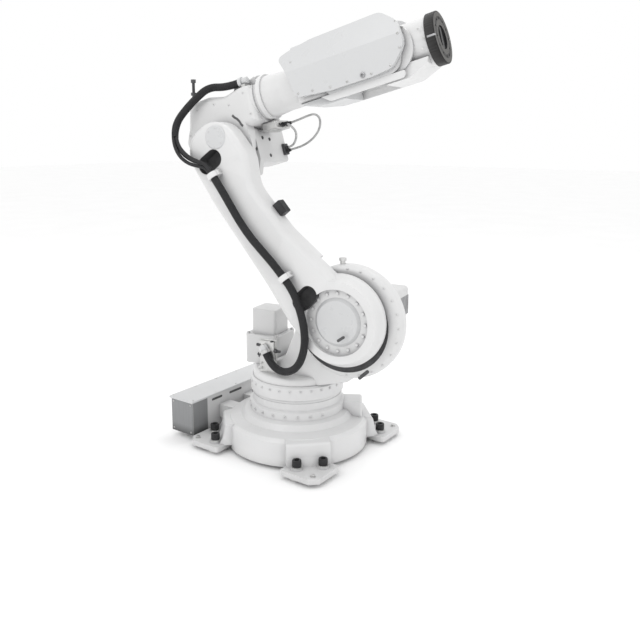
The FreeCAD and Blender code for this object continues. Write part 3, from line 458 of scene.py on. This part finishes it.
def capsule(centre_a, centre_b, half_long, half_wide, angle=0.0, steps=14):
    """Outline of a slot with round ends."""
    turn = math.radians(angle)
    points = []
    for end, base in ((1, -math.pi / 2), (-1, math.pi / 2)):
        for step in range(steps + 1):
            a = base + math.pi * step / steps
            u = end * (half_long - half_wide) + half_wide * math.cos(a)
            v = half_wide * math.sin(a)
            points.append((centre_a + u * math.cos(turn) - v * math.sin(turn),
                           centre_b + u * math.sin(turn) + v * math.cos(turn)))
    return points


# ---- hoses and leads ----
def route(name, points, frame_matrix):
    """World points of a smooth NURBS line, whose control points are given in the body's frame."""
    data = bpy.data.curves.new(name, "CURVE")
    data.dimensions = "3D"
    data.resolution_u = 12
    line = data.splines.new("NURBS")
    line.points.add(len(points) - 1)
    for spot, point in zip(line.points, points):
        spot.co = (*(frame_matrix @ Vector(point)), 1)
    line.order_u = 3
    line.use_endpoint_u = True
    holder = bpy.data.objects.new(name, data)
    bpy.context.scene.collection.objects.link(holder)
    bpy.context.view_layer.update()
    mesh = bpy.data.meshes.new_from_object(holder.evaluated_get(bpy.context.evaluated_depsgraph_get()))
    found = [vertex.co.copy() for vertex in mesh.vertices]
    bpy.data.meshes.remove(mesh)
    bpy.data.objects.remove(holder)
    bpy.data.curves.remove(data)
    line_points = [found[0]]
    for point in found[1:]:
        if (point - line_points[-1]).length > 1e-5:
            line_points.append(point)
    return line_points


def line_frames(line):
    """Tangent, normal, binormal and length along a line, without twist."""
    tangents = []
    for step in range(len(line)):
        before, after = line[max(0, step - 1)], line[min(len(line) - 1, step + 1)]
        tangents.append((after - before).normalized())
    normal = tangents[0].orthogonal().normalized()
    rows, run = [], 0.0
    for step, tangent in enumerate(tangents):
        normal = (normal - tangent * normal.dot(tangent)).normalized()
        if step:
            run += (line[step] - line[step - 1]).length
        rows.append((line[step], tangent, normal, tangent.cross(normal), run))
    return rows


def tube(name, line, radius, look, count=24):
    """Tube of varying radius round a line, with a UV map and flat caps at the ends."""
    rows = line_frames(line)
    total = rows[-1][4]
    bm = bmesh.new()
    uv = bm.loops.layers.uv.new("UVMap")
    rings = []
    for centre, _, normal, other, run in rows:
        r = radius(run / total) if callable(radius) else radius
        rings.append([bm.verts.new(centre + normal * r * math.cos(2 * math.pi * k / count)
                                   + other * r * math.sin(2 * math.pi * k / count)) for k in range(count)])
    for step in range(len(rings) - 1):
        for k in range(count):
            after = (k + 1) % count
            one, two = rings[step], rings[step + 1]
            face = bm.faces.new((one[k], one[after], two[after], two[k]))
            spots = ((k, step), (k + 1, step), (k + 1, step + 1), (k, step + 1))
            for loop, (a, b) in zip(face.loops, spots):
                loop[uv].uv = (a / count, rows[b][4])
    bm.faces.new(rings[0][::-1])
    bm.faces.new(rings[-1])
    return finish_mesh(name, bm, look, None, 50)


def strand(line, offset, phase, twist, spread):
    """A line beside another, turning round it slowly."""
    rows = line_frames(line)
    total = rows[-1][4]
    made = []
    for centre, _, normal, other, run in rows:
        share = run / total
        angle = phase + twist * share
        reach = offset * spread(share)
        made.append(centre + normal * reach * math.cos(angle) + other * reach * math.sin(angle))
    return made


# radii and control points in metres: hoses in the frames of the arm and the turret, leads in the elbow's
HOSE_R = 0.018
STRAND_R = 0.0084
STRAND_OFFSET = 0.0096
LEAD_R = 0.0055
ARM_HOSE = [(-.061, -.273, .896), (-.066, -.273, .815), (-.076, -.273, .720), (-.085, -.273, .630),
            (-.086, -.273, .540), (-.076, -.273, .450), (-.066, -.273, .365), (-.064, -.273, .280)]
SHOULDER_LOOP = [(.09119, -.273, .87813), (.1242, -.273, .8406), (.159, -.273, .757), (.179, -.272, .684),
                 (.183, -.268, .611), (.168, -.260, .540), (.134, -.248, .478), (.082, -.233, .441),
                 (.020, -.215, .430), (-.036, -.201, .457), (-.064, -.195, .500)]
ELBOW_LOOP = [(-.30285, -.273, 1.35241), (-.3266, -.273, 1.3846), (-.368, -.273, 1.392),
              (-.420, -.271, 1.404), (-.475, -.262, 1.434), (-.518, -.245, 1.478), (-.542, -.222, 1.531),
              (-.543, -.196, 1.588), (-.512, -.168, 1.642), (-.466, -.150, 1.692), (-.402, -.132, 1.745),
              (-.3269, -.090, 1.7436), (-.2554, -.090, 1.7628)]
LEAD_A = [(.2324, .040, .062), (.256, .040, .062), (.268, .060, .042), (.266, .092, .020), (.246, .126, .0),
          (.214, .160, -.018), (.182, .190, -.027), (.154, .204, -.029), (.1324, .204, -.029)]
LEAD_B = [(.2324, .088, .066), (.262, .088, .066), (.296, .108, .072), (.330, .130, .080),
          (.358, .152, .082), (.370, .168, .062), (.364, .178, .034), (.342, .186, .004),
          (.306, .194, -.020), (.264, .203, -.035), (.220, .213, -.042), (.174, .218, -.043),
          (.1324, .218, -.043)]


def strand_spread(share):
    """How far the three hoses part: most in the middle of their run."""
    return 0.9 + 0.75 * math.sin(math.pi * min(1, share)) ** 2


def hoses():
    arm_line = route("arm_route", ARM_HOSE, ARM)
    piece = tube("arm_sleeve", arm_line, HOSE_R, sleeve, 32)
    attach(piece, "lower_arm")
    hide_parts("arm_hose")

    line = route("shoulder_route", SHOULDER_LOOP, TURRET)
    piece = tube("shoulder_sleeve", line, HOSE_R, sleeve, 32)
    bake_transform(piece)
    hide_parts("shoulder_hose_loop")

    line = route("elbow_route", ELBOW_LOOP, TURRET)
    split = int(len(line) * 0.46)
    piece = tube("elbow_sleeve", line[split:], lambda s: HOSE_R * (0.9 + 0.1 * min(1, s * 8)), sleeve, 32)
    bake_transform(piece)
    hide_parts("elbow_hose_loop")
    lower = line[:split + 3]
    for number in range(3):
        path = strand(lower, STRAND_OFFSET, 2.1 * number + 0.5, 1.3, strand_spread)
        piece = tube("elbow_hose_strand_%d" % number, path, STRAND_R, hose_rubber, 20)
        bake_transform(piece)

    for name, points in (("lead_short", LEAD_A), ("lead_long", LEAD_B)):
        piece = tube(name, route(name + "_route", points, UPPER), LEAD_R, lead_sheath, 16)
        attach(piece, "upper_arm")
        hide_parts("motor_leads")


hoses()


# ---- base ----
def base_details():
    reach = [(sx * a, sy * b) for a, b in BOLT_PLACES for sx in (-1, 1) for sy in (-1, 1)]
    caps, washers = bmesh.new(), bmesh.new()
    for x, y in reach:
        matrix = turned(WORLD, Vector((x, y, PAD_TOP)), Z)
        lathe(washers, matrix, [(14, 0.1), (26, 0.1), (26, 4), (25, 5), (20, 5), (20, 8), (14, 8)], 32)
        matrix = turned(WORLD, Vector((x, y, PAD_TOP + 5.2)), Z)
        lathe(caps, matrix, [(17, 0), (20.5, 0.5), (21.5, 3), (21.5, 27), (20, 30.5), (12.5, 31)], 32)
        lathe(caps, matrix, [(12.5, 31), (11.5, 30), (11.5, 21), (0, 20)], 6)
    finish_mesh("foundation_caps", caps, black_cap, "base")
    finish_mesh("foundation_washers", washers, zinc, "base")

    top = Vector((0, 0, 214))
    radial = []
    for step in range(24):
        angle = 2 * math.pi * (step + 0.5) / 24
        out = Vector((math.cos(angle), math.sin(angle), 0))
        if 0.3 < angle < 2 * math.pi - 0.3:
            radial.append((top + out * NECK_RADIUS, out))
    screws("neck_screws", "base", white_base, socket_screw, WORLD, radial, 6.5, 4)
    jacks = []
    for sx in (-1, 1):
        for sy in (-1, 1):
            jacks.append((Vector((sx * 352, sy * 352, 44)), Z))
    screws("levelling_screws", "base", zinc, hex_screw, WORLD, jacks, 9, 10)


def box_details():
    low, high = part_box("rear_box")
    lid_low, lid_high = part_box("rear_box_lid")
    face = high.x / MM
    floor = low.z / MM
    top = high.z / MM
    end = low.y / MM
    plate("box_side_panel", "base", grey_sheet, WORLD,
          [(end + 2, floor + 2), (end + 104, floor + 2), (end + 104, top - 3), (end + 2, top - 3)],
          face, face + 1.6, "x", 0.5)
    for number, (y0, y1) in enumerate(((-189, -112), (-56, 40))):
        middle = (y0 + y1) / 2
        # painted shade: a dark plate on the box face stands in for the shade inside a slot
        plate("box_slot_%d" % number, "base", shade_in_holes, WORLD, capsule(middle, top - 24, (y1 - y0) / 2, 6),
              face + 0.1, face + 1.2, "x", 0.3)
    lid = []
    for x in (lid_low.x / MM + 12, lid_high.x / MM - 12):
        for step in range(5):
            y = lid_low.y / MM + 20 + step * ((lid_high.y - lid_low.y) / MM - 40) / 4
            lid.append((Vector((x, y, lid_high.z / MM)), Z))
    screws("lid_screws", "base", zinc, button_screw, WORLD, lid, 5, 2.6)
    ends = []
    for z in (floor + 14, top - 16):
        for x in (low.x / MM + 14, face - 14):
            ends.append((Vector((x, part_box("rear_box_ends")[0].y / MM, z)), -Y))
    screws("box_end_screws", "base", zinc, button_screw, WORLD, ends, 5, 2.6)


# ---- turret ----
def turret_details():
    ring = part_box("turret_ring")[1].z / MM
    places = []
    for step in range(28):
        angle = 2 * math.pi * (step + 0.5) / 28
        out = Vector((math.cos(angle), math.sin(angle), 0))
        places.append((Vector((0, 0, ring - 22)) + out * RING_RADIUS, out))
    screws("ring_screws", "turret", white, socket_screw, TURRET, places, 6, 4)
    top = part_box("axis_1_motor_flange")[1].z / MM
    x, y = MOTOR_1_PLACE
    corners = [(Vector((x + sx * 80, y + sy * 80, top)), Z) for sx in (-1, 1) for sy in (-1, 1)]
    screws("motor_1_screws", "turret", motor_paint, socket_screw, TURRET, corners, 8, 8)
    # painted shadow: a dark ring on the housing face round the arm's disc stands in for the shadow in the gap
    # below the disc
    bm = bmesh.new()
    gap = [(190, 0.1), (190, 1.4), (220, 1.4), (222, 0.1)]
    lathe(bm, turned(TURRET, Vector((313, HOUSING_FACE, 675)), -Y), gap, 72)
    finish_mesh("shoulder_shadow_ring", bm, seal_rubber, "turret")
    # painted shade: a dark grey plate on the white motor's +X face stands in for the shade on that side
    plate("motor_2_shade_plate", "turret", shade_grey, TURRET,
          [(344, 606), (474, 606), (474, 706), (344, 706)], 405, 405.9, "x", 0.3)
    # painted shade: a dark plate on the housing face stands in for the shade inside a slot
    plate("housing_slot", "turret", shade_in_holes, TURRET, capsule(420, 456, 34, 8, 43),
          HOUSING_FACE - 0.8, HOUSING_FACE + 0.6, "y", 0.3)
    rim = on_circle(Vector((334, HOUSING_FACE + 0.2, 689)), -Y, 247, 24,
                    skip=lambda p: p.z < 470 and p.x < 330)
    screws("housing_rim_screws", "turret", white, button_screw, TURRET, rim, 5, 2.5)
    cap = [(Vector((330 + sx * 56, 485, 669 + sz * 66)), Y) for sx in (-1, 1) for sz in (-1, 1)]
    screws("motor_2_screws", "turret", zinc, socket_screw, TURRET, cap, 6, 0.1)

    bm = bmesh.new()
    union = turned(TURRET, Vector((-64, -195, 500)), Vector((-28, 6, 43)))
    lathe(bm, union, [(15, 16), (21, 17), (22, 22), (22, 36), (20, 40), (15, 40)], 6)
    finish_mesh("turret_hose_nut", bm, white_smooth, "turret")
    bm = bmesh.new()
    fittings = ((Vector((-92, -175, 532)), -X, 9, 34), (Vector((-40, -175, 512)), X, 8, 42),
                (Vector((-98, -175, 478)), Vector((-1, 0, 0.5)), 10, 24), (Vector((-44, -175, 552)), Z, 7, 8))
    for point, axis, r, length in fittings:
        profile = [(0, 0), (r * 0.7, 0), (r * 0.7, length * 0.3), (r * 1.25, length * 0.3),
                   (r * 1.25, length * 0.55), (r * 0.8, length * 0.6), (r * 0.8, length), (0, length)]
        lathe(bm, turned(TURRET, point, axis), profile, 18)
    finish_mesh("turret_small_fittings", bm, dark_steel, "turret")
    plate("turret_fitting_block", "turret", zinc, TURRET, [(-112, 470), (-30, 470), (-30, 556), (-112, 556)],
          -182, -168.2, "y", 3)
    bracket = [(Vector((x, -168, z)), -Y) for x in (-104, -38) for z in (416, 440)]
    screws("turret_bracket_screws", "turret", zinc, socket_screw, TURRET, bracket, 6, 5)


# ---- lower arm ----
def painted_hole_shade(name, x, z, angle):
    """Painted shade: dark lining of an oval well in the arm's outer face, standing in for the shade inside
    the well.
    """
    bm = bmesh.new()
    outline = capsule(0, 0, 68.3, 42.3, 0, 18)
    turn = Matrix.Translation(Vector((x, 0, z)) * MM) @ Matrix.Rotation(math.radians(angle), 4, "Y")
    rings = []
    for scale, depth in ((1.0, 0.8), (0.985, 18), (0.97, 54), (0.9, 65)):
        rings.append([bm.verts.new(ARM @ turn @ (Vector((a * scale, ARM_FACE + depth, b * scale)) * MM))
                      for a, b in outline])
    for one, two in zip(rings, rings[1:]):
        for step in range(len(one)):
            after = (step + 1) % len(one)
            bm.faces.new((one[step], one[after], two[after], two[step]))
    bm.faces.new(rings[-1])
    return finish_mesh(name, bm, shade_in_holes, "lower_arm", 50)


def arm_details():
    for well in WELLS:
        painted_hole_shade(*well)
    ring = on_circle(Vector((0, POCKET_FLOOR, 0)), -Y, 132, 16, phase=0.1)
    screws("shoulder_ring_screws", "lower_arm", white, hex_screw, ARM, ring, 7.5, 6)
    # painted shade: a dark plate on the arm stands in for the shade inside a slot
    plate("shoulder_slot", "lower_arm", shade_in_holes, ARM, capsule(-16, -70, 22, 6.5, -4),
          -254.6, -252.2, "y", 0.2)
    clamp_screws = []
    for point in (ARM_HOSE[0], ARM_HOSE[-1]):
        sign = -1 if point[2] > 0.5 else 1
        for side in (-1, 1):
            spot = Vector((point[0] / MM + side * 34, CLAMP_FACE, point[2] / MM + sign * 17))
            clamp_screws.append((spot, -Y))
    screws("clamp_screws", "lower_arm", zinc, socket_screw, ARM, clamp_screws, 4, 4)
    screws("elbow_cover_screws", "lower_arm", white, button_screw, ARM,
           on_circle(Vector((46, -245, 1015)), -Y, 42, 6), 4, 2)


# ---- elbow ----
def elbow_details():
    gap = [(66, 150), (76, 136), (88, 126), (97, 112), (102, 98), (110, 86)]
    left = [(a - 4.5, b - 3) for a, b in gap]
    right = [(a + 4.5, b + 3) for a, b in gap][::-1]
    # painted shade: a dark strip on the elbow face stands in for the shade in the gap
    plate("elbow_gap", "upper_arm", shade_in_holes, UPPER, left + right,
          ELBOW_FACE - 0.9, ELBOW_FACE - 0.05, "y", 0)
    bolts = [(Vector((96, -56.5, 26)), -Y), (Vector((96, -56.5, -62)), -Y), (Vector((112, -56.5, -24)), -Y)]
    screws("motor_3_plate_screws", "upper_arm", dark_steel, hex_screw, UPPER, bolts, 8, 7)
    plugs = [(Vector((118, 20, 28)), X), (Vector((118, 84, 20)), X), (Vector((118, 60, -60)), X)]
    screws("motor_3_plugs", "upper_arm", dark_steel, button_screw, UPPER, plugs, 9, 3)
    screws("side_cover_screws", "upper_arm", zinc, button_screw, UPPER,
           [(Vector((x, 128, z)), Y) for x in (-122, -10, 92) for z in (124, 216)], 5, 3)
    spots = ((-120, 226), (-20, 226), (60, 200), (150, 232), (166, 130), (-196, 120))
    near = [(Vector((x, ELBOW_FACE, z)), -Y) for x, z in spots]
    screws("elbow_side_screws", "upper_arm", white, button_screw, UPPER, near, 6, 3)
    screws("cable_block_screws", "upper_arm", dark_steel, socket_screw, UPPER,
           [(Vector((190, 0, 84)), Z), (Vector((232, 10, 64)), X)], 5, 4)
    bm = bmesh.new()
    for y, z in ((40, 62), (88, 66)):
        gland = [(0, 0), (12, 0), (12, 6), (9, 8), (9, 18), (7, 22), (6, 26)]
        lathe(bm, turned(UPPER, Vector((232, y, z)), X), gland, 20)
    for y, z in ((204, -29), (218, -43)):
        gland = [(0, 0), (10, 0), (10, 7), (8, 9), (8, 16), (6.2, 20)]
        lathe(bm, turned(UPPER, Vector((132, y, z)), X), gland, 20)
    finish_mesh("lead_glands", bm, black_plastic, "upper_arm")


# ---- forearm and wrist ----
def forearm_details():
    low_row = [(446, -58), (519, -66), (604, -76), (686, -77), (800, -78), (889, -70), (944, -14), (948, 44)]
    places = []
    for x, z in low_row:
        for side in (-1, 1):
            places.append((Vector((x, side * COVER_FACE, z)), Y * side))
    screws("cover_screws", "forearm", zinc, button_screw, FORE, places, 5.5, 3)
    upper = []
    for x, z in ((440, 84), (700, 120), (944, 96)):
        share = (z - 47) / 105
        for side in (-1, 1):
            point = Vector((x, side * (COVER_FACE - 36 * share), z))
            upper.append((point, Vector((0, side * 105, 36)).normalized()))
    screws("cover_upper_screws", "forearm", zinc, button_screw, FORE, upper, 5.5, 3)
    bm = bmesh.new()
    for side in (-1, 1):
        matrix = turned(FORE, Vector((762, side * COVER_FACE, -72)), Y * side)
        lathe(bm, matrix, [(4, 0), (11, 0), (12, 2), (11, 5), (7, 6), (6, 3), (4, 3)], 24)
    finish_mesh("cover_eyes", bm, worn_steel, "forearm")


def flange_distance():
    """Distance of the flange's face along axis 6, from axis 4's place."""
    return (Vector(joints["axis_6"]["pos_m"]) - Vector(joints["axis_4"]["pos_m"])).length / MM


def wrist_details():
    spots = ((1022, 42), (1038, 0), (1022, -42), (960, 70), (900, 82), (842, 62))
    places = [(Vector((x, side * WRIST_HALF_WIDTH, z)), Y * side) for x, z in spots for side in (-1, 1)]
    screws("wrist_screws", "wrist", zinc, socket_screw, FORE, places, 5, 1.2)
    face = flange_distance()
    bm = bmesh.new()
    lining = [(0, 0.2), (30, 0.2), (30, 4), (34, 5), (49.5, 5), (49.5, 13)]
    lathe(bm, turned(FORE, Vector((face - 13.8, 0, 0)), X), lining, 48)
    finish_mesh("flange_bore_lining", bm, black_cap, "tool")
    bm = bmesh.new()
    lathe(bm, turned(FORE, Vector((face, 0, 0)), X), [(50.5, -2), (51, 0.02), (72, 0.02), (72.5, -2)], 72)
    lathe(bm, turned(FORE, Vector((face, 0, 0)), X), [(88, -2), (88.5, 0.02), (106, 0.02), (106.5, -2)], 72)
    finish_mesh("flange_rings", bm, flange_face, "tool")
    plate("flange_slot", "tool", black_cap, FORE, [(-12, -46), (12, -46), (12, 46), (-12, 46)],
          face - 8.8, face - 4, "x", 1)
    for number, side in enumerate((-1, 1)):
        reach = sorted((side * 96, side * 112))
        plate("flange_mark_%d" % number, "tool", worn_steel, FORE,
              [(reach[0], -4), (reach[1], -4), (reach[1], 4), (reach[0], 4)],
              face - 34, face + 0.05, "x", 0.5)


base_details()
box_details()
turret_details()
arm_details()
elbow_details()
forearm_details()
wrist_details()


# ---- floor, light ----
def studio():
    bm = bmesh.new()
    bmesh.ops.create_grid(bm, x_segments=1, y_segments=1, size=30)
    mesh = bpy.data.meshes.new("floor")
    bm.to_mesh(mesh)
    bm.free()
    floor = bpy.data.objects.new("floor", mesh)
    floor.location = (0, 0, -0.0005)
    bpy.context.scene.collection.objects.link(floor)
    material, tree, shader, coords = start("floor")
    pale = ramp(tree, noise(tree, coords, 1.5, 3), [(0.3, (0.97, 0.97, 0.97)), (0.7, (0.99, 0.99, 0.99))])
    tree.links.new(pale, shader.inputs["Base Color"])
    shader.inputs["Roughness"].default_value = 0.9
    shader.inputs["Specular IOR Level"].default_value = 0.1
    mesh.materials.append(material)

    world = bpy.data.worlds.new("studio")
    bpy.context.scene.world = world
    world.use_nodes = True
    world.node_tree.nodes["Background"].inputs["Color"].default_value = (1, 1, 1, 1)
    world.node_tree.nodes["Background"].inputs["Strength"].default_value = 1.0

    for name, place, target, size, power in (("key", (-0.5, -4.2, 4.6), (0, 0, 0.9), 2.6, 42),
                                             ("fill", (4.5, 0.5, 3.0), (0, 0, 0.9), 3.0, 12),
                                             ("top", (0.3, 1.2, 5.0), (0, 0, 1.0), 3.0, 45)):
        data = bpy.data.lights.new(name, "AREA")
        data.shape = "DISK"
        data.size = size
        data.energy = power
        lamp = bpy.data.objects.new(name, data)
        lamp.location = place
        lamp.rotation_mode = "QUATERNION"
        lamp.rotation_quaternion = (Vector(target) - Vector(place)).to_track_quat("-Z", "Y")
        bpy.context.scene.collection.objects.link(lamp)
    bpy.context.scene.view_settings.view_transform = "Standard"


studio()
